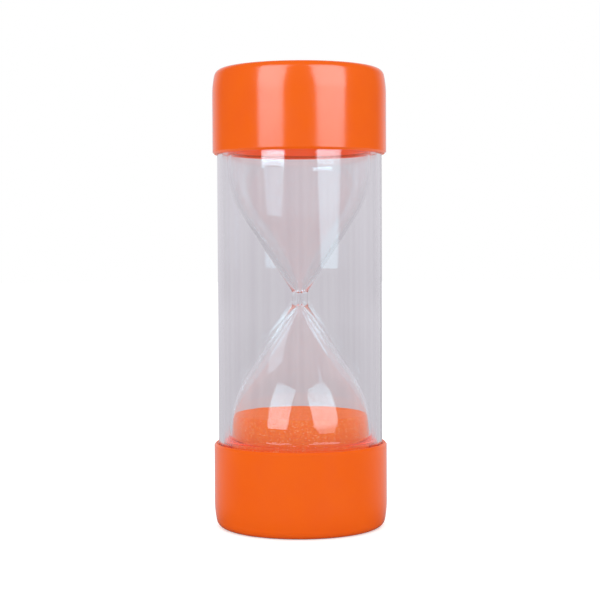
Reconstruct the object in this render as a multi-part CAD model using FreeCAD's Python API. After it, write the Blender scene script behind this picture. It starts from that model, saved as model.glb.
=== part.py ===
import FreeCAD, Part

import math
import os

# Classroom sand timer: two moulded bulbs joined at the neck, in a clear barrel between two moulded caps.
# Millimetres, +Z up. The origin is the centre of the face that the lower cap stands on.
# Cap, lid and bulb are the same mouldings at both ends, turned over.

# Barrel: a drawn clear tube with its ends cut square
barrel_radius = 30.8
barrel_wall = 1.8
barrel_length = 147.1
barrel_edge = 0.25          # chamfer on the cut ends

# Cap: a deep cup whose skirt closes over the barrel
cap_height = 31.5
cap_wall = 1.6
cap_floor = 2.2
cap_fit = 0.1               # radial gap between barrel and skirt
crown_height = 9.4          # the side is a gentle arc up to here, then straight
crown_radius = 33.3
corner_radius = 3.1
rim_edge = 0.7              # chamfer on the rim's outer edge
rim_lead = 0.4              # chamfer that guides the barrel in
stand_radius = 24.0         # the end face is relieved inside this, so the cap stands on a ring
stand_relief = 0.4
gate_radius = 1.5           # dimple where the moulding was gated
gate_depth = 0.3

# Inside the cap: a ring that the lid stands on, and ribs that the barrel stands on
ring_wall = 1.6
ring_fit = 0.15             # radial gap between ring and barrel
seat_height = 12.0          # height of the rib tops above the standing face
rib_count = 12
rib_thickness = 1.4
rib_sink = 0.3              # how far the ribs run into the floor and the side
groove_corner = 1.2         # chamfer in the groove between ring and side, along the rounded corner
hub_radius = 9.0
hub_wall = 1.4

# Lid: closes a bulb's mouth, with a plug inside the cap's ring
lid_thickness = 1.6
lid_plug = 1.0
lid_fit = 0.1               # radial gap around the plug

# Bulb, outside: neck, flare, cone, belly and flange, each tangent to the next
mouth_recess = 1.0          # how far its mouth lies inside the cap's rim
neck_radius = 3.0
neck_straight = 2.0         # half the length of the straight neck
flare_radius = 2.5
belly_radius = 38.0
belly_gap = 2.1             # between the upright end of the belly and the barrel
belly_upright = 0.3         # length of that upright end, down to the flange
flange_thickness = 2.4
flange_fit = 0.2            # radial gap between flange and barrel
flange_fillet = 1.8
flange_edge = 0.25          # chamfer on the flange's upper edge

# Bulb, inside: the wall is even round the belly and gets thicker towards the neck
bulb_wall = 1.1
throat_radius = 1.3
throat_straight = 0.6
throat_flare = 1.0

# Bush: sits in both necks, lines them up and meters the sand
bush_radius = 1.7
bush_length = 5.6
bush_fit = 0.05             # gap around the bush and at its ends
bush_chamfer = 0.2
orifice_radius = 0.7
orifice_lead = 0.6          # depth of the countersinks

# Sand: all of it has run into the lower bulb and lies level
sand_fit = 0.06
sand_depth = 11.0
sand_crown = 0.3            # rise of its surface from the bulb's wall to the middle

# What follows from them
cap_bore = barrel_radius + cap_fit
cap_radius = cap_bore + cap_wall
barrel_bore = barrel_radius - barrel_wall
total_height = barrel_length + 2 * seat_height
middle = total_height / 2
mouth_height = cap_height - mouth_recess
lid_seat = mouth_height - lid_thickness
ring_radius = barrel_bore - ring_fit
ring_bore = ring_radius - ring_wall
flange_radius = barrel_bore - flange_fit
bulb_radius = barrel_bore - belly_gap
cavity_radius = bulb_radius - bulb_wall
fillet_height = mouth_height + flange_thickness + flange_fillet
belly_height = fillet_height + belly_upright
bush_socket = bush_length / 2 + bush_fit

AXIS = FreeCAD.Vector(0, 0, 1)
ORIGIN = FreeCAD.Vector(0, 0, 0)
DOWN = 270
OUT = 0


class Outline:
    """A chain of straight runs and tangent arcs in the half-plane of radius and height."""

    def __init__(self, radius, height):
        self.radius, self.height, self.heading = radius, height, OUT
        self.edges = []

    def facing(self, heading):
        """Sets the heading, in degrees from outward, that the next run or bend starts with."""
        self.heading = heading
        return self

    def line_to(self, radius, height):
        """A straight edge to a point; the heading stays as it was."""
        here = FreeCAD.Vector(self.radius, 0, self.height)
        there = FreeCAD.Vector(radius, 0, height)
        self.edges.append(Part.LineSegment(here, there).toShape())
        self.radius, self.height = radius, height
        return self

    def run(self, length):
        """A straight edge of that length along the heading."""
        lean = math.radians(self.heading)
        return self.line_to(self.radius + length * math.cos(lean), self.height + length * math.sin(lean))

    def bend(self, radius, degrees):
        """A tangent arc that turns left by that many degrees, or right if they are negative."""
        side = math.copysign(90.0, degrees)
        to_centre = math.radians(self.heading + side)
        centre_radius = self.radius + radius * math.cos(to_centre)
        centre_height = self.height + radius * math.sin(to_centre)
        points = [FreeCAD.Vector(self.radius, 0, self.height)]
        for share in (0.5, 1.0):
            out = math.radians(self.heading + degrees * share - side)
            points.append(FreeCAD.Vector(centre_radius + radius * math.cos(out), 0,
                                         centre_height + radius * math.sin(out)))
        self.edges.append(Part.Arc(*points).toShape())
        self.radius, self.height = points[2].x, points[2].z
        self.heading += degrees
        return self

    def bell(self, flare, belly, radius, height):
        """A flare, a cone and a belly, each tangent to the next, that end upright at that radius and height.

        The flare is an arc to the left that goes on until it faces along the line that touches both it and
        the belly's arc, which turns right.
        """
        to_centre = math.radians(self.heading + 90)
        across = radius - belly - self.radius - flare * math.cos(to_centre)
        along = height - self.height - flare * math.sin(to_centre)
        apart = math.hypot(across, along)
        lean = math.asin((belly + flare) / apart)
        cone = math.degrees(math.atan2(along, across) + lean) % 360
        self.bend(flare, cone - self.heading)
        self.run(apart * math.cos(lean))
        return self.bend(belly, DOWN - cone)

    def solid(self):
        """Closes the outline with a straight edge and turns it about the axis."""
        first = self.edges[0].Vertexes[0].Point
        self.line_to(first.x, first.z)
        return Part.Face(Part.Wire(self.edges)).revolve(ORIGIN, AXIS, 360)


def turned_over(shape):
    """The same piece at the other end of the timer."""
    copy = shape.copy()
    copy.rotate(FreeCAD.Vector(0, 0, middle), FreeCAD.Vector(1, 0, 0), 180)
    return copy


def tube(radius, bore, height, length):
    """A plain ring that stands on the given height."""
    base = FreeCAD.Vector(0, 0, height)
    return Part.makeCylinder(radius, length, base).cut(Part.makeCylinder(bore, length, base))


def make_barrel():
    low, high = seat_height, total_height - seat_height
    outline = Outline(barrel_bore + barrel_edge, low)
    outline.line_to(barrel_radius - barrel_edge, low)
    outline.line_to(barrel_radius, low + barrel_edge)
    outline.line_to(barrel_radius, high - barrel_edge)
    outline.line_to(barrel_radius - barrel_edge, high)
    outline.line_to(barrel_bore + barrel_edge, high)
    outline.line_to(barrel_bore, high - barrel_edge)
    outline.line_to(barrel_bore, low + barrel_edge)
    return outline.solid()


def cap_shell():
    """The cup itself: standing ring, crowned side, rim, and the groove and ring inside."""
    crown = math.asin((crown_height - corner_radius) / (crown_radius - corner_radius))
    crown_inset = crown_radius * (1 - math.cos(crown))
    flat_radius = cap_radius - crown_inset - corner_radius * math.cos(crown)
    outline = Outline(0, stand_relief)
    outline.line_to(stand_radius - stand_relief, stand_relief)
    outline.line_to(stand_radius, 0)
    outline.line_to(flat_radius, 0)
    outline.bend(corner_radius, 90 - math.degrees(crown))
    outline.bend(crown_radius, math.degrees(crown))
    outline.line_to(cap_radius, cap_height - rim_edge)
    outline.line_to(cap_radius - rim_edge, cap_height)
    outline.line_to(cap_bore + rim_lead, cap_height)
    outline.line_to(cap_bore, cap_height - rim_lead)
    outline.line_to(cap_bore, cap_floor + groove_corner)
    outline.line_to(cap_bore - groove_corner, cap_floor)
    outline.line_to(ring_radius, cap_floor)
    outline.line_to(ring_radius, lid_seat)
    outline.line_to(ring_bore, lid_seat)
    outline.line_to(ring_bore, cap_floor)
    outline.line_to(0, cap_floor)
    return outline.solid()


def cap_ribs():
    """A hub and the ribs from it to the cap's side, with level tops, sunk into the walls they meet."""
    sunk = cap_floor - rib_sink
    height = seat_height - sunk
    hub_middle = hub_radius - hub_wall / 2
    reach = cap_bore + cap_wall - hub_middle
    ribs = []
    for number in range(rib_count):
        rib = Part.makeBox(reach, rib_thickness, height, FreeCAD.Vector(hub_middle, -rib_thickness / 2, sunk))
        rib.rotate(ORIGIN, AXIS, 360.0 * number / rib_count)
        ribs.append(rib)
    return tube(hub_radius, hub_radius - hub_wall, sunk, height).multiFuse(ribs)


def make_cap():
    inside = Part.makeCylinder(cap_bore + rib_sink, seat_height)
    gate = Part.makeCylinder(gate_radius, gate_depth, FreeCAD.Vector(0, 0, stand_relief))
    return cap_shell().fuse(cap_ribs().common(inside)).cut(gate).removeSplitter()


def make_lid():
    plug_radius = ring_bore - lid_fit
    outline = Outline(0, lid_seat - lid_plug)
    outline.line_to(plug_radius, lid_seat - lid_plug)
    outline.line_to(plug_radius, lid_seat)
    outline.line_to(flange_radius, lid_seat)
    outline.line_to(flange_radius, mouth_height)
    outline.line_to(0, mouth_height)
    return outline.solid()


def bulb_outside():
    outline = Outline(0, middle)
    outline.line_to(neck_radius, middle)
    outline.facing(DOWN).run(neck_straight)
    outline.bell(flare_radius, belly_radius, bulb_radius, belly_height)
    outline.line_to(bulb_radius, fillet_height)
    outline.bend(flange_fillet, 90)
    outline.line_to(flange_radius - flange_edge, mouth_height + flange_thickness)
    outline.line_to(flange_radius, mouth_height + flange_thickness - flange_edge)
    outline.line_to(flange_radius, mouth_height)
    outline.line_to(0, mouth_height)
    return outline.solid()


def bulb_cavity(inset=0.0):
    """The space inside a bulb, or what lies that far inside it."""
    top = middle - bush_socket
    outline = Outline(0, top)
    outline.line_to(throat_radius - inset, top)
    outline.facing(DOWN).run(throat_straight)
    outline.bell(throat_flare + inset, belly_radius - bulb_wall - inset, cavity_radius - inset, belly_height)
    outline.line_to(cavity_radius - inset, mouth_height)
    outline.line_to(0, mouth_height)
    return outline.solid()


def make_bulb():
    """One bell, with the socket for its half of the bush."""
    socket = Part.makeCylinder(bush_radius + bush_fit, bush_socket, FreeCAD.Vector(0, 0, middle - bush_socket))
    return bulb_outside().cut(bulb_cavity()).cut(socket)


def make_bush():
    half = bush_length / 2
    wide = orifice_radius + orifice_lead
    outline = Outline(wide, middle - half)
    outline.line_to(bush_radius - bush_chamfer, middle - half)
    outline.line_to(bush_radius, middle - half + bush_chamfer)
    outline.line_to(bush_radius, middle + half - bush_chamfer)
    outline.line_to(bush_radius - bush_chamfer, middle + half)
    outline.line_to(wide, middle + half)
    outline.line_to(orifice_radius, middle + half - orifice_lead)
    outline.line_to(orifice_radius, middle - half + orifice_lead)
    return outline.solid()


def make_sand():
    """What fills the lower bulb, up to a surface that rises a little to the middle."""
    floor = mouth_height + sand_fit
    level = mouth_height + sand_depth
    heap = Outline(0, floor)
    heap.line_to(bulb_radius, floor)
    heap.line_to(bulb_radius, level - sand_crown)
    heap.line_to(0, level)
    return bulb_cavity(sand_fit).common(heap.solid())


def main():
    cap, lid, bulb = make_cap(), make_lid(), make_bulb()
    pieces = {
        "lower_cap": cap,
        "upper_cap": turned_over(cap),
        "barrel": make_barrel(),
        "lower_lid": lid,
        "upper_lid": turned_over(lid),
        "lower_bulb": bulb,
        "upper_bulb": turned_over(bulb),
        "orifice_bush": make_bush(),
        "sand": make_sand(),
    }
    os.makedirs("parts", exist_ok=True)
    for name, shape in pieces.items():
        shape.exportStep(f"parts/{name}.step")


main()
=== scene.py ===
import math
import random

import bmesh
import bpy
from mathutils import Matrix, Vector, noise


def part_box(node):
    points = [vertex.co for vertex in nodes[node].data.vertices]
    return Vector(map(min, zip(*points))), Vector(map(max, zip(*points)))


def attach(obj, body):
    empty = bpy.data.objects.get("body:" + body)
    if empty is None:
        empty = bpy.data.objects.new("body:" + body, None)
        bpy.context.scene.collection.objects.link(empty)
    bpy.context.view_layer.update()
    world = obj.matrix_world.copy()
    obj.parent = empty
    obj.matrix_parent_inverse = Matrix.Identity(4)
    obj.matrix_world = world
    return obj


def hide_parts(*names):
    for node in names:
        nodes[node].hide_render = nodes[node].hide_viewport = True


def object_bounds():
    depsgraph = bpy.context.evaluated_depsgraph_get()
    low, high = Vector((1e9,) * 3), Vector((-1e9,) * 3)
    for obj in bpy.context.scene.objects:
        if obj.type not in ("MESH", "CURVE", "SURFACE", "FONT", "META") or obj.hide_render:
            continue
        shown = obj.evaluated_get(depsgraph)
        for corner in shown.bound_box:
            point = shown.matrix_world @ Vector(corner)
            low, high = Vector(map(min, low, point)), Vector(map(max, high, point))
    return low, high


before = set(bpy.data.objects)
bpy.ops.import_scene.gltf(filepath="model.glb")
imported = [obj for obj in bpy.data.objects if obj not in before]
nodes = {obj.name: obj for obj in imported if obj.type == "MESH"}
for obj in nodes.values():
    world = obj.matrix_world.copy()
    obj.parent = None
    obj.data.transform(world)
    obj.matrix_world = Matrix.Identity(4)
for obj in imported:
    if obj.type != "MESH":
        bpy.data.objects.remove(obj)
cad_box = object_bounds()
STANDS_AT = cad_box[0].z
MM = 0.001

# Camera: straight in front of the timer, a little above its middle, tilted down. Angles are in degrees
CAMERA_DISTANCE = 0.5556    # from the timer's axis
CAMERA_HEIGHT = 0.1044      # above the surface that it stands on
CAMERA_TILT = 2.007
CAMERA_ROLL = -0.26
CAMERA_CLIP = (0.01, 20.0)
LENS = 88.64
SENSOR = 36.0

# Lamps. They aim at a point on the timer's axis, and azimuth 0 is the camera's side
AIM_HEIGHT = 0.08           # above the surface that the timer stands on
LAMP_DISTANCE = 2.2
LEFT_BOX = {"azimuth": -37.5, "elevation": 29.1, "width": 1.40, "height": 2.02}
RIGHT_BOX = {"azimuth": 41.9, "elevation": 26.8, "width": 1.70, "height": 2.26}
FILL_LAMP = {"azimuth": -15.0, "elevation": 48.0, "width": 1.5, "height": 1.5}
FILL_RADIANCE = 0.3
BOX_RADIANCE = 5.3
BOX_COLOUR = (0.62, 0.97, 1.11, 1.0)
# How a softbox's brightness changes up its height, which runs from 0 to 1: its share at the foot, where it
# rises to the whole, where it falls again, and the middle of a brighter strip. A corner of 2 is whole, and 1
# would leave a diamond
LEFT_GLOW = {"foot": 0.7, "rise": (0.02, 0.08), "fall": (0.5, 1.0), "corner": 2.0, "strip": 0.011}
RIGHT_GLOW = {"foot": 0.43, "rise": (0.10, 0.18), "fall": (0.5, 1.0), "corner": 1.6, "strip": 0.115}
TOP_SHARE = 0.65            # of the brightness, left at the top edge
STRIP_GAIN = 0.9            # what the strip adds
STRIP_REACH = (0.004, 0.009)    # from its middle to where it starts to fade, and to where it ends
CORNER_BLUR = 0.08          # over which a cut corner fades

CLEAR_BOUNCES = 28          # so that light inside the thick neck isn't cut off, which would show as black

# Room. A pair says where one look turns into another: how far a direction points away from the camera or up
# (each from -1 to 1), or how many metres from the timer a place on the floor is
ROOM_LIGHT = 1.13           # as it lights surfaces
BACKDROP = (0.668, 0.648, 0.696, 1.0)   # pale grey-lilac, as the clear pieces show it
ROOM_FRONT = (0.09, 0.09, 0.09, 1.0)    # the dimmer room round the camera, as gloss shows it
ROOM_INSIDE = (0.28, 0.27, 0.29, 1.0)   # and as gloss seen through or inside a clear piece shows it
BACK_EDGE = (0.5, 0.95)     # where the room round the camera turns into the backdrop
BACK_EDGE_INSIDE = (-0.3, 0.5)
BACK_EDGE_FLOOR = (-0.4, 0.9)   # the same on the floor near the timer
FAR_FLOOR = (0.5, 3.0)      # where the floor's own edge turns into the room's
HIGH_GLOW = (-0.023, 0.02)  # where the backdrop brightens upwards
HIGH_GAIN = 1.06
NEAR_FLOOR = (0.2, 1.6)     # where the floor, as gloss and clear pieces see it, brightens outwards: painted shade near the timer
# painted shade: the share of the backdrop's brightness that this floor keeps near the timer
NEAR_SHARE = 0.90
FLOOR_RADIUS = 4.0
FLOOR_SIDES = 64
FLOOR_SHADE = 0.86
FLOOR_LIFT = 0.45           # added for the camera, so that the floor is white and its shadow faint

# Clear bulbs: what their boxes don't say of the moulding
NECK_RADIUS = 3.0 * MM
NECK_STRAIGHT = 2.0 * MM    # half its length
FLARE_RADIUS = 2.5 * MM
BELLY_RADIUS = 38.0 * MM
BULB_WALL = 1.1 * MM
BELLY_UPRIGHT = 0.3 * MM
FLANGE_THICKNESS = 2.4 * MM     # of the lower bulb, under the sand
FLANGE_FILLET = 1.8 * MM
UPPER_FLANGE = 1.0 * MM     # thinner, so that it doesn't show as a second ring under the upper rim
UPPER_FILLET = 0.4 * MM
FLANGE_EDGE = 0.25 * MM     # chamfer
THROAT_RADIUS = 1.3 * MM
THROAT_STRAIGHT = 0.6 * MM
THROAT_FLARE = 1.0 * MM
ORIFICE_RADIUS = 0.7 * MM
ORIFICE_LEAD = 0.6 * MM
GLUE_DEPTH = 0.02 * MM      # the bulbs' feet reach this far into the glue on the lids

# Sand
SAND_FIT = 0.06 * MM        # between sand and bulb
SAND_RAISED = 1.1 * MM      # how far its surface stands above the CAD solid's
SAND_SEED = 11
GRAIN = 0.32 * MM
GRID = 0.45 * MM            # from point to point of its mesh
UNEVEN = 0.35 * MM          # depth of the drifts on its surface
DRIFT = 7.0 * MM            # and their breadth
TOP_ROUGHNESS = GRAIN / 2   # how far grains on top lie lower than others
SIDE_ROUGHNESS = GRAIN / 4  # and how far grains on the side lie further in

# Meshes
DOWN = 270.0                # heading of an outline, in degrees
ARC_STEP = 3.0              # degrees from point to point of an arc
TURNED_SIDES = 240
SHARP_EDGE = 30.0           # degrees between faces, from which their edge isn't shaded smooth

# Materials: the size of each feature, and the part of its noise's range (0 to 1) over which it sets in
PIGMENT_CLOUD, PIGMENT_RANGE = 12.0 * MM, (0.3, 0.7)
SPECK, SPECK_RANGE, SPECK_DEPTH = 0.6 * MM, (0.55, 0.8), 0.35
RUB_MARK, RUB_RANGE, RUB_DEPTH = 0.9 * MM, (0.5, 0.8), 0.03
RUB_STRETCH = (1.0, 1.0, 9.0)
GLOSS_CLOUD, GLOSS_RANGE, GLOSS_DRIFT = 6.0 * MM, (0.3, 0.7), 0.015
PEEL = 2.5 * MM
PLASTIC_IOR = 1.5
END_MATT = 0.5              # what the matt finish of the end faces adds to the roughness
END_FACING = (0.9, 0.985)   # how squarely a face looks up or down where that finish starts and is whole
DUST, DUST_RANGE = 0.7 * MM, (0.62, 0.8)
STREAK_RANGE = (0.35, 0.65)
STREAK_STRETCH = (1.0, 1.0, 300.0)
PALE_GRAINS, PALE_DEPTH = (0.93, 0.99), 0.7
DARK_PATCH, DARK_RANGE, DARK_DEPTH = 1.5 * MM, (0.5, 0.75), 0.45
GRAIN_BUMP = GRAIN * 0.4


def srgb(red, green, blue):
    """Linear colour of an 8-bit sRGB one."""
    def linear(level):
        level /= 255
        return level / 12.92 if level <= 0.04045 else ((level + 0.055) / 1.055) ** 2.4
    return (linear(red), linear(green), linear(blue), 1.0)


def grey(level):
    return (level, level, level, 1.0)


class Graph:
    """A node tree that is emptied and built anew."""

    def __init__(self, tree):
        self.tree = tree
        tree.nodes.clear()

    def add(self, kind, inputs=None, **settings):
        """A node with its settings, and its sockets set to values or linked to other nodes' outputs."""
        node = self.tree.nodes.new("ShaderNode" + kind)
        for name, value in settings.items():
            setattr(node, name, value)
        for name, value in (inputs or {}).items():
            if isinstance(value, bpy.types.NodeSocket):
                self.tree.links.new(value, node.inputs[name])
            else:
                node.inputs[name].default_value = value
        return node

    def place(self):
        """Where a point is, in metres in the timer's frame."""
        return self.add("TexCoord").outputs["Object"]

    def part(self, vector, axis):
        return self.add("SeparateXYZ", {"Vector": vector}).outputs[axis]

    def noise(self, size, detail=2.0, stretch=(1.0, 1.0, 1.0)):
        """Soft noise from 0 to 1 with features of that size in metres, longer where stretch is above 1."""
        scale = [1 / (size * share) for share in stretch]
        point = self.add("Mapping", {"Vector": self.place(), "Scale": scale}).outputs["Vector"]
        return self.add("TexNoise", {"Vector": point, "Scale": 1.0, "Detail": detail}).outputs["Fac"]

    def cells(self, size, output):
        """Cells of that size in metres: the Distance from the middle of each, or a random Color for each."""
        return self.add("TexVoronoi", {"Vector": self.place(), "Scale": 1 / size}).outputs[output]

    def spread(self, value, low, high, start=0.0, end=1.0, kind="LINEAR"):
        """Maps start..end of a value to low..high."""
        sockets = {"Value": value, "From Min": start, "From Max": end, "To Min": low, "To Max": high}
        return self.add("MapRange", sockets, interpolation_type=kind).outputs["Result"]

    def math(self, operation, first, second=0.0):
        return self.add("Math", {0: first, 1: second}, operation=operation).outputs["Value"]

    def mix_colour(self, share, first, second):
        return self.add("Mix", {0: share, 6: first, 7: second}, data_type="RGBA").outputs[2]

    def scaled(self, colour, share):
        """A colour times a number."""
        sockets = {0: colour[:3], "Scale": share}
        return self.add("VectorMath", sockets, operation="SCALE").outputs["Vector"]

    def bump(self, height, depth):
        """Raises the surface by up to that depth in metres."""
        return self.add("Bump", {"Height": height, "Distance": depth, "Strength": 1.0}).outputs["Normal"]

    def turned(self):
        """1 for a ray that was reflected or scattered on its way, 0 for one that only came through clear
        pieces."""
        path = self.add("LightPath").outputs
        bounces = self.math("SUBTRACT", path["Ray Depth"], path["Transmission Depth"])
        return self.math("GREATER_THAN", bounces, 0.5)

    def room(self, lit, reflected, refracted, seen):
        """Picks a colour by what kind of ray asks: one that lights a surface, one in gloss, one through clear
        pieces, or the camera's own."""
        path = self.add("LightPath").outputs
        passing = self.math("MAXIMUM", path["Is Glossy Ray"], path["Is Transmission Ray"])
        colour = self.mix_colour(passing, lit, self.mix_colour(self.turned(), refracted, reflected))
        return self.mix_colour(path["Is Camera Ray"], colour, seen)

    def surround(self, direction, edge, backdrop):
        """What gloss shows of the room that way: dim round the camera, and the backdrop behind the timer."""
        away = self.part(direction, "Y")
        within = self.math("GREATER_THAN", self.add("LightPath").outputs["Transmission Depth"], 0.5)
        behind = self.spread(away, 0.0, 1.0, *edge, "SMOOTHSTEP")
        behind_inside = self.spread(away, 0.0, 1.0, *BACK_EDGE_INSIDE, "SMOOTHSTEP")
        outer = self.mix_colour(behind, ROOM_FRONT, backdrop)
        inner = self.mix_colour(behind_inside, ROOM_INSIDE, backdrop)
        return self.mix_colour(within, outer, inner)

    def emission(self, colour, strength=1.0):
        return self.add("Emission", {"Color": colour, "Strength": strength}).outputs["Emission"]

    def finish(self, shader, kind="OutputMaterial"):
        self.add(kind, {"Surface": shader})


def new_material(name):
    material = bpy.data.materials.new(name)
    material.use_nodes = True
    return material, Graph(material.node_tree)


def moulded_plastic(name, colour, deep, roughness, peel_depth, gloss):
    """Coloured moulding: cloudy pigment, a faint ripple, fine rub marks that dull the gloss, and a matt
    finish where it looks straight up or down."""
    material, graph = new_material(name)
    pigment = graph.spread(graph.noise(PIGMENT_CLOUD, 3.0), 0.0, 1.0, *PIGMENT_RANGE)
    specks = graph.spread(graph.noise(SPECK, 2.0), 0.0, SPECK_DEPTH, *SPECK_RANGE)
    body = graph.mix_colour(pigment, colour, deep)
    body = graph.mix_colour(specks, body, deep)
    rubs = graph.spread(graph.noise(RUB_MARK, 4.0, RUB_STRETCH), 0.0, RUB_DEPTH, *RUB_RANGE)
    least, most = roughness - GLOSS_DRIFT, roughness + GLOSS_DRIFT
    clouds = graph.spread(graph.noise(GLOSS_CLOUD, 3.0), least, most, *GLOSS_RANGE)
    facing = graph.math("ABSOLUTE", graph.part(graph.add("TexCoord").outputs["Normal"], "Z"))
    matt = graph.spread(facing, 0.0, END_MATT, *END_FACING, "SMOOTHSTEP")
    shader = graph.add("BsdfPrincipled", {
        "Base Color": body,
        "Roughness": graph.math("ADD", graph.math("ADD", clouds, rubs), matt),
        "Normal": graph.bump(graph.noise(PEEL, 2.0), peel_depth),
        "IOR": PLASTIC_IOR,
        "Specular IOR Level": gloss,
    })
    graph.finish(shader.outputs["BSDF"])
    return material


def clear_plastic(name, streaked, ior, haze, streak, ripple_depth):
    """Clear plastic with faint streaks along it and a little dust. Lamps shine straight through to what is
    inside."""
    material, graph = new_material(name)
    streaks = graph.spread(graph.noise(streak, 3.0, STREAK_STRETCH), 0.0, 1.0, *STREAK_RANGE)
    glass = graph.add("BsdfPrincipled", {
        "Base Color": graph.mix_colour(streaks, grey(1.0), streaked),
        "Roughness": graph.spread(graph.noise(DUST, 3.0), 0.0, haze, *DUST_RANGE),
        "Normal": graph.bump(graph.noise(streak, 2.0, STREAK_STRETCH), ripple_depth),
        "IOR": ior,
        "Transmission Weight": 1.0,
    })
    through = graph.add("BsdfTransparent").outputs["BSDF"]
    path = graph.add("LightPath").outputs
    lamps = graph.add("MixShader", {0: path["Is Shadow Ray"], 1: glass.outputs["BSDF"], 2: through})
    mixed = graph.add("MixShader", {0: path["Is Diffuse Ray"], 1: lamps.outputs["Shader"], 2: through})
    graph.finish(mixed.outputs["Shader"])
    return material


def sand_material(name):
    """Dyed sand: grains of slightly different orange, a few of them pale, and darker patches."""
    material, graph = new_material(name)
    shade = graph.add("SeparateColor", {"Color": graph.cells(GRAIN, "Color")}).outputs["Red"]
    body = graph.mix_colour(shade, srgb(252, 100, 26), srgb(255, 130, 46))
    body = graph.mix_colour(graph.spread(shade, 0.0, PALE_DEPTH, *PALE_GRAINS), body, srgb(255, 190, 140))
    patches = graph.spread(graph.noise(DARK_PATCH, 3.0), 0.0, DARK_DEPTH, *DARK_RANGE)
    body = graph.mix_colour(patches, body, srgb(250, 94, 22))
    shader = graph.add("BsdfPrincipled", {
        "Base Color": body,
        "Roughness": 0.8,
        "Normal": graph.bump(graph.cells(GRAIN, "Distance"), GRAIN_BUMP),
        "Specular IOR Level": 0.2,
    })
    graph.finish(shader.outputs["BSDF"])
    return material


def dress(names, material):
    for name in names:
        for slot in nodes[name].material_slots:
            slot.material = material


def polar(azimuth, distance, height):
    """A point round the axis: azimuth 0 is straight in front, towards the camera."""
    around = math.radians(azimuth)
    return Vector((math.sin(around) * distance, -math.cos(around) * distance, height))


def area_lamp(name, azimuth, elevation, width, height):
    """A lamp that faces the timer from that direction, of radiance 1 before its own nodes."""
    lamp = bpy.data.lights.new(name, "AREA")
    lamp.shape = "RECTANGLE"
    lamp.size, lamp.size_y = width, height
    lamp.energy = math.pi * width * height
    lamp.use_nodes = True
    aim = Vector((0, 0, STANDS_AT + AIM_HEIGHT))
    rise = math.radians(elevation)
    arm = polar(azimuth, math.cos(rise), math.sin(rise)) * LAMP_DISTANCE
    holder = bpy.data.objects.new(name, lamp)
    holder.location = aim + arm
    holder.rotation_euler = (-arm).to_track_quat("-Z", "Y").to_euler()
    holder.visible_camera = False
    bpy.context.scene.collection.objects.link(holder)
    return holder


def softbox(name, place, glow):
    """A softbox that only reflections show. It dims towards its foot and its top, has a brighter strip near
    its foot, and its corners are cut off where glow says so."""
    holder = area_lamp(name, **place)
    holder.visible_diffuse = False
    graph = Graph(holder.data.node_tree)
    place_on_box = graph.add("NewGeometry").outputs["Parametric"]
    across, up = graph.part(place_on_box, "X"), graph.part(place_on_box, "Y")
    reach = [graph.math("ABSOLUTE", graph.spread(part, -1.0, 1.0)) for part in (across, up)]
    corner = glow["corner"]
    inside = graph.spread(graph.math("ADD", *reach), 1.0, 0.0, corner, corner + CORNER_BLUR, "SMOOTHSTEP")
    rise = graph.spread(up, glow["foot"], 1.0, *glow["rise"], "SMOOTHSTEP")
    fall = graph.spread(up, 1.0, TOP_SHARE, *glow["fall"], "SMOOTHSTEP")
    aside = graph.math("ABSOLUTE", graph.math("SUBTRACT", up, glow["strip"]))
    strip = graph.spread(aside, 1 + STRIP_GAIN, 1.0, *STRIP_REACH, "SMOOTHSTEP")
    shape = graph.math("MULTIPLY", graph.math("MULTIPLY", inside, strip), graph.math("MULTIPLY", rise, fall))
    level = graph.math("MULTIPLY", shape, graph.math("MULTIPLY", graph.turned(), BOX_RADIANCE))
    graph.finish(graph.emission(BOX_COLOUR, level), "OutputLight")


def make_lamps():
    softbox("left_softbox", LEFT_BOX, LEFT_GLOW)
    softbox("right_softbox", RIGHT_BOX, RIGHT_GLOW)
    fill = area_lamp("fill_lamp", **FILL_LAMP)
    fill.visible_glossy = fill.visible_transmission = False
    graph = Graph(fill.data.node_tree)
    graph.finish(graph.emission(grey(1.0), FILL_RADIANCE), "OutputLight")


def make_world():
    world = bpy.data.worlds.new("studio")
    bpy.context.scene.world = world
    world.use_nodes = True
    # The kinds of ray are told apart only where rays reach the world by themselves, not where it is sampled
    world.cycles.sampling_method = "NONE"
    graph = Graph(world.node_tree)
    direction = graph.add("TexCoord").outputs["Generated"]
    backdrop = graph.scaled(BACKDROP, graph.spread(graph.part(direction, "Z"), 1.0, HIGH_GAIN, *HIGH_GLOW))
    level = graph.room(grey(ROOM_LIGHT), graph.surround(direction, BACK_EDGE, backdrop), backdrop, grey(1.0))
    background = graph.add("Background", {"Color": level, "Strength": 1.0}).outputs["Background"]
    graph.finish(background, "OutputWorld")


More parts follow.
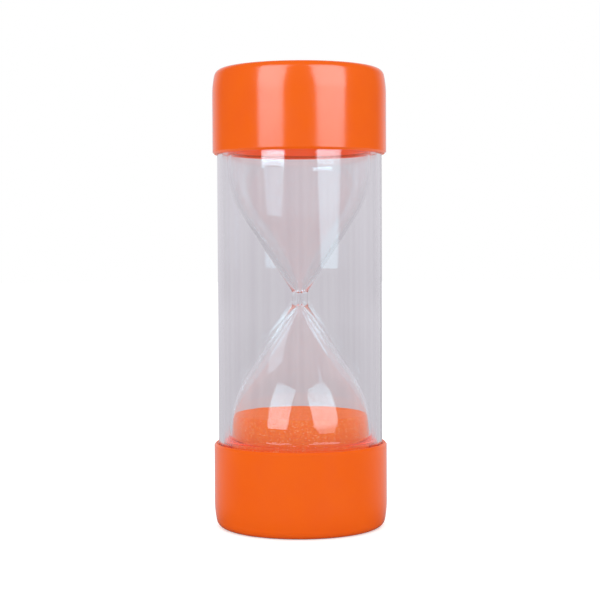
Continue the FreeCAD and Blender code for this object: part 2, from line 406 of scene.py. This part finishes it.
def make_floor():
    """A plain pale floor that keeps the timer's shadow, and that gloss and clear pieces see as more of the
    room."""
    material, graph = new_material("studio_floor")
    black, white = grey(0.0), grey(1.0)
    lit = graph.add("BsdfDiffuse", {"Color": grey(FLOOR_SHADE)}).outputs["BSDF"]
    lift = graph.emission(graph.room(black, black, black, grey(FLOOR_LIFT)))
    lifted = graph.add("AddShader", {0: lit, 1: lift}).outputs["Shader"]
    outwards = graph.add("VectorMath", {0: graph.place()}, operation="NORMALIZE").outputs["Vector"]
    distance = graph.add("VectorMath", {0: graph.place()}, operation="LENGTH").outputs["Value"]
    # Painted shade: gloss and clear pieces see the floor dimmer near the timer, brightening outwards
    backdrop = graph.scaled(BACKDROP, graph.spread(distance, NEAR_SHARE, 1.0, *NEAR_FLOOR))
    near = graph.surround(outwards, BACK_EDGE_FLOOR, backdrop)
    far = graph.surround(outwards, BACK_EDGE, backdrop)
    reflected = graph.mix_colour(graph.spread(distance, 0.0, 1.0, *FAR_FLOOR), near, far)
    plain = graph.emission(graph.room(black, reflected, backdrop, black))
    plainly = graph.room(black, white, white, black)
    graph.finish(graph.add("MixShader", {0: plainly, 1: lifted, 2: plain}).outputs["Shader"])
    mesh = bpy.data.meshes.new("floor")
    turns = [360 * side / FLOOR_SIDES for side in range(FLOOR_SIDES)]
    mesh.from_pydata([polar(turn, FLOOR_RADIUS, STANDS_AT) for turn in turns], [], [range(FLOOR_SIDES)])
    mesh.materials.append(material)
    floor = bpy.data.objects.new("floor", mesh)
    bpy.context.scene.collection.objects.link(floor)


def make_camera():
    camera = bpy.data.cameras.new("camera")
    camera.lens, camera.sensor_width = LENS, SENSOR
    camera.clip_start, camera.clip_end = CAMERA_CLIP
    holder = bpy.data.objects.new("camera", camera)
    tilt = Matrix.Rotation(math.radians(90 - CAMERA_TILT), 4, "X")
    roll = Matrix.Rotation(math.radians(CAMERA_ROLL), 4, "Z")
    place = Matrix.Translation((0, -CAMERA_DISTANCE, STANDS_AT + CAMERA_HEIGHT))
    holder.matrix_world = place @ tilt @ roll
    bpy.context.scene.collection.objects.link(holder)
    bpy.context.scene.camera = holder


class Profile:
    """Half the outline of a turned piece: points of radius and height on straight runs and tangent arcs."""

    def __init__(self, radius, height):
        self.points = [(radius, height)]
        self.heading = DOWN

    def line_to(self, radius, height):
        self.points.append((radius, height))

    def run(self, length):
        radius, height = self.points[-1]
        lean = math.radians(self.heading)
        self.line_to(radius + length * math.cos(lean), height + length * math.sin(lean))

    def bend(self, radius, degrees):
        """A tangent arc that turns left by that many degrees, or right if they are negative."""
        side = math.copysign(90.0, degrees)
        here = self.points[-1]
        to_centre = math.radians(self.heading + side)
        centre = here[0] + radius * math.cos(to_centre), here[1] + radius * math.sin(to_centre)
        steps = max(2, round(abs(degrees) / ARC_STEP))
        for step in range(1, steps + 1):
            out = math.radians(self.heading + degrees * step / steps - side)
            self.line_to(centre[0] + radius * math.cos(out), centre[1] + radius * math.sin(out))
        self.heading += degrees

    def bell(self, flare, belly, radius, height):
        """A flare, a cone and a belly, each tangent to the next, ending upright at that radius and height."""
        here = self.points[-1]
        to_centre = math.radians(self.heading + 90)
        across = radius - belly - here[0] - flare * math.cos(to_centre)
        along = height - here[1] - flare * math.sin(to_centre)
        apart = math.hypot(across, along)
        lean = math.asin((belly + flare) / apart)
        cone = math.degrees(math.atan2(along, across) + lean) % 360
        self.bend(flare, cone - self.heading)
        self.run(apart * math.cos(lean))
        self.bend(belly, DOWN - cone)


def add_piece(name, points, faces, material):
    mesh = bpy.data.meshes.new(name)
    mesh.from_pydata(points, [], faces)
    shape = bmesh.new()
    shape.from_mesh(mesh)
    bmesh.ops.recalc_face_normals(shape, faces=shape.faces)
    shape.to_mesh(mesh)
    shape.free()
    mesh.shade_smooth()
    mesh.set_sharp_from_angle(angle=math.radians(SHARP_EDGE))
    mesh.materials.append(material)
    piece = bpy.data.objects.new(name, mesh)
    bpy.context.scene.collection.objects.link(piece)
    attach(piece, "root")
    return piece


def lathe(name, outline, material):
    """Turns a closed outline, which nowhere meets the axis, into a piece of the timer."""
    points = []
    for side in range(TURNED_SIDES):
        around = 2 * math.pi * side / TURNED_SIDES
        east, north = math.cos(around), math.sin(around)
        points += [(radius * east, radius * north, height) for radius, height in outline]
    count = len(outline)
    faces = []
    for side in range(TURNED_SIDES):
        here, there = side * count, (side + 1) % TURNED_SIDES * count
        for first in range(count):
            second = (first + 1) % count
            faces.append((here + first, there + first, there + second, here + second))
    return add_piece(name, points, faces, material)


def bulb_outlines(flange, fillet):
    """The lower bulb's outside and inside with such a flange, from the neck's middle down to the foot."""
    low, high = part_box("lower_bulb")
    bush_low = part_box("orifice_bush")[0].z
    cavity_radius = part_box("sand")[1].x + SAND_FIT
    flange_radius, mouth, middle = high.x, low.z, high.z
    foot = mouth - GLUE_DEPTH
    belly_end = mouth + FLANGE_THICKNESS + FLANGE_FILLET + BELLY_UPRIGHT
    outside = Profile(NECK_RADIUS, middle)
    outside.run(NECK_STRAIGHT)
    outside.bell(FLARE_RADIUS, BELLY_RADIUS, cavity_radius + BULB_WALL, belly_end)
    outside.line_to(cavity_radius + BULB_WALL, mouth + flange + fillet)
    outside.bend(fillet, 90)
    outside.line_to(flange_radius - FLANGE_EDGE, mouth + flange)
    outside.line_to(flange_radius, mouth + flange - FLANGE_EDGE)
    outside.line_to(flange_radius, foot)
    inside = Profile(ORIFICE_RADIUS, middle)
    inside.line_to(ORIFICE_RADIUS, bush_low + ORIFICE_LEAD)
    inside.line_to(ORIFICE_RADIUS + ORIFICE_LEAD, bush_low)
    inside.line_to(THROAT_RADIUS, bush_low)
    inside.run(THROAT_STRAIGHT)
    inside.bell(THROAT_FLARE, BELLY_RADIUS - BULB_WALL, cavity_radius, belly_end)
    inside.line_to(cavity_radius, foot)
    return outside.points, inside.points


def make_bulbs(material):
    """Both bulbs and the bush between them, which are glued into one clear piece. Returns the outline of the
    lower one's inside."""
    outside, inside = bulb_outlines(FLANGE_THICKNESS, FLANGE_FILLET)
    upper_outside, upper_inside = bulb_outlines(UPPER_FLANGE, UPPER_FILLET)
    middle = outside[0][1]
    upper = upper_outside + upper_inside[::-1]
    turned = [(radius, 2 * middle - height) for radius, height in upper[1:-1]]
    bulbs = lathe("clear_bulbs", outside + inside[::-1] + turned[::-1], material)
    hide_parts("lower_bulb", "upper_bulb", "orifice_bush")
    return inside


def radius_at(outline, height):
    """How wide an outline that runs downwards is at that height."""
    for (above, top), (below, bottom) in zip(outline, outline[1:]):
        if bottom <= height < top:
            return above + (below - above) * (top - height) / (top - bottom)
    return outline[-1][0]


def make_sand(inside, material):
    """Loose sand: an uneven surface in rings round its middle, and a side pressed against the bulb's inner
    wall."""
    low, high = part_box("sand")
    level = high.z + SAND_RAISED
    brim = radius_at(inside, level) - SAND_FIT
    sides = round(2 * math.pi * brim / GRID)
    rings = round(brim / GRID)
    rows = round((level - low.z) / GRID)
    draws = random.Random(SAND_SEED)
    points = [(0.0, 0.0, level - UNEVEN / 2 - TOP_ROUGHNESS / 2)]
    for ring in range(1, rings + 1):
        for side in range(sides):
            around = 2 * math.pi * side / sides
            x, y = brim * ring / rings * math.cos(around), brim * ring / rings * math.sin(around)
            drift = 0.5 + 0.5 * noise.noise(Vector((x, y, 0)) / DRIFT)
            grain = 0.5 + 0.5 * noise.noise(Vector((x, y, level)) / GRAIN)
            points.append((x, y, level - UNEVEN * drift - TOP_ROUGHNESS * grain))
    for row in range(1, rows + 1):
        height = level + (low.z - level) * row / rows
        for side in range(sides):
            around = 2 * math.pi * side / sides
            radius = radius_at(inside, height) - SAND_FIT - draws.random() * SIDE_ROUGHNESS
            points.append((radius * math.cos(around), radius * math.sin(around), height))
    faces = [(0, 1 + side, 1 + (side + 1) % sides) for side in range(sides)]
    for ring in range(rings + rows - 1):
        here = 1 + ring * sides
        for side in range(sides):
            after = (side + 1) % sides
            faces.append((here + side, here + sides + side, here + sides + after, here + after))
    last = 1 + (rings + rows - 1) * sides
    faces.append(tuple(last + side for side in range(sides)))
    sand = add_piece("sand_grains", points, faces, material)
    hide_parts("sand")


cap_plastic = moulded_plastic(
    "orange_cap_gloss", colour=srgb(243, 99, 1), deep=srgb(241, 95, 1),
    roughness=0.165, peel_depth=0.005 * MM, gloss=0.6)
lid_plastic = moulded_plastic(
    "orange_lid_satin", colour=srgb(255, 86, 2), deep=srgb(252, 80, 1),
    roughness=0.7, peel_depth=0.01 * MM, gloss=0.05)
barrel_plastic = clear_plastic(
    "clear_barrel_tube", streaked=(0.955, 0.945, 0.955, 1.0),
    ior=1.49, haze=0.10, streak=3.0 * MM, ripple_depth=0.004 * MM)
bulb_plastic = clear_plastic(
    "clear_bulb_moulding", streaked=(0.99, 0.985, 0.99, 1.0),
    ior=1.42, haze=0.06, streak=6.0 * MM, ripple_depth=0.0012 * MM)
dress(["lower_cap", "upper_cap"], cap_plastic)
dress(["lower_lid", "upper_lid"], lid_plastic)
dress(["barrel"], barrel_plastic)
bulb_inside = make_bulbs(bulb_plastic)
make_sand(bulb_inside, sand_material("orange_sand_grains"))

make_world()
make_floor()
make_lamps()
make_camera()
bpy.context.scene.view_settings.view_transform = "Standard"
limits = bpy.context.scene.cycles
limits.max_bounces = limits.transmission_bounces = limits.glossy_bounces = CLEAR_BOUNCES
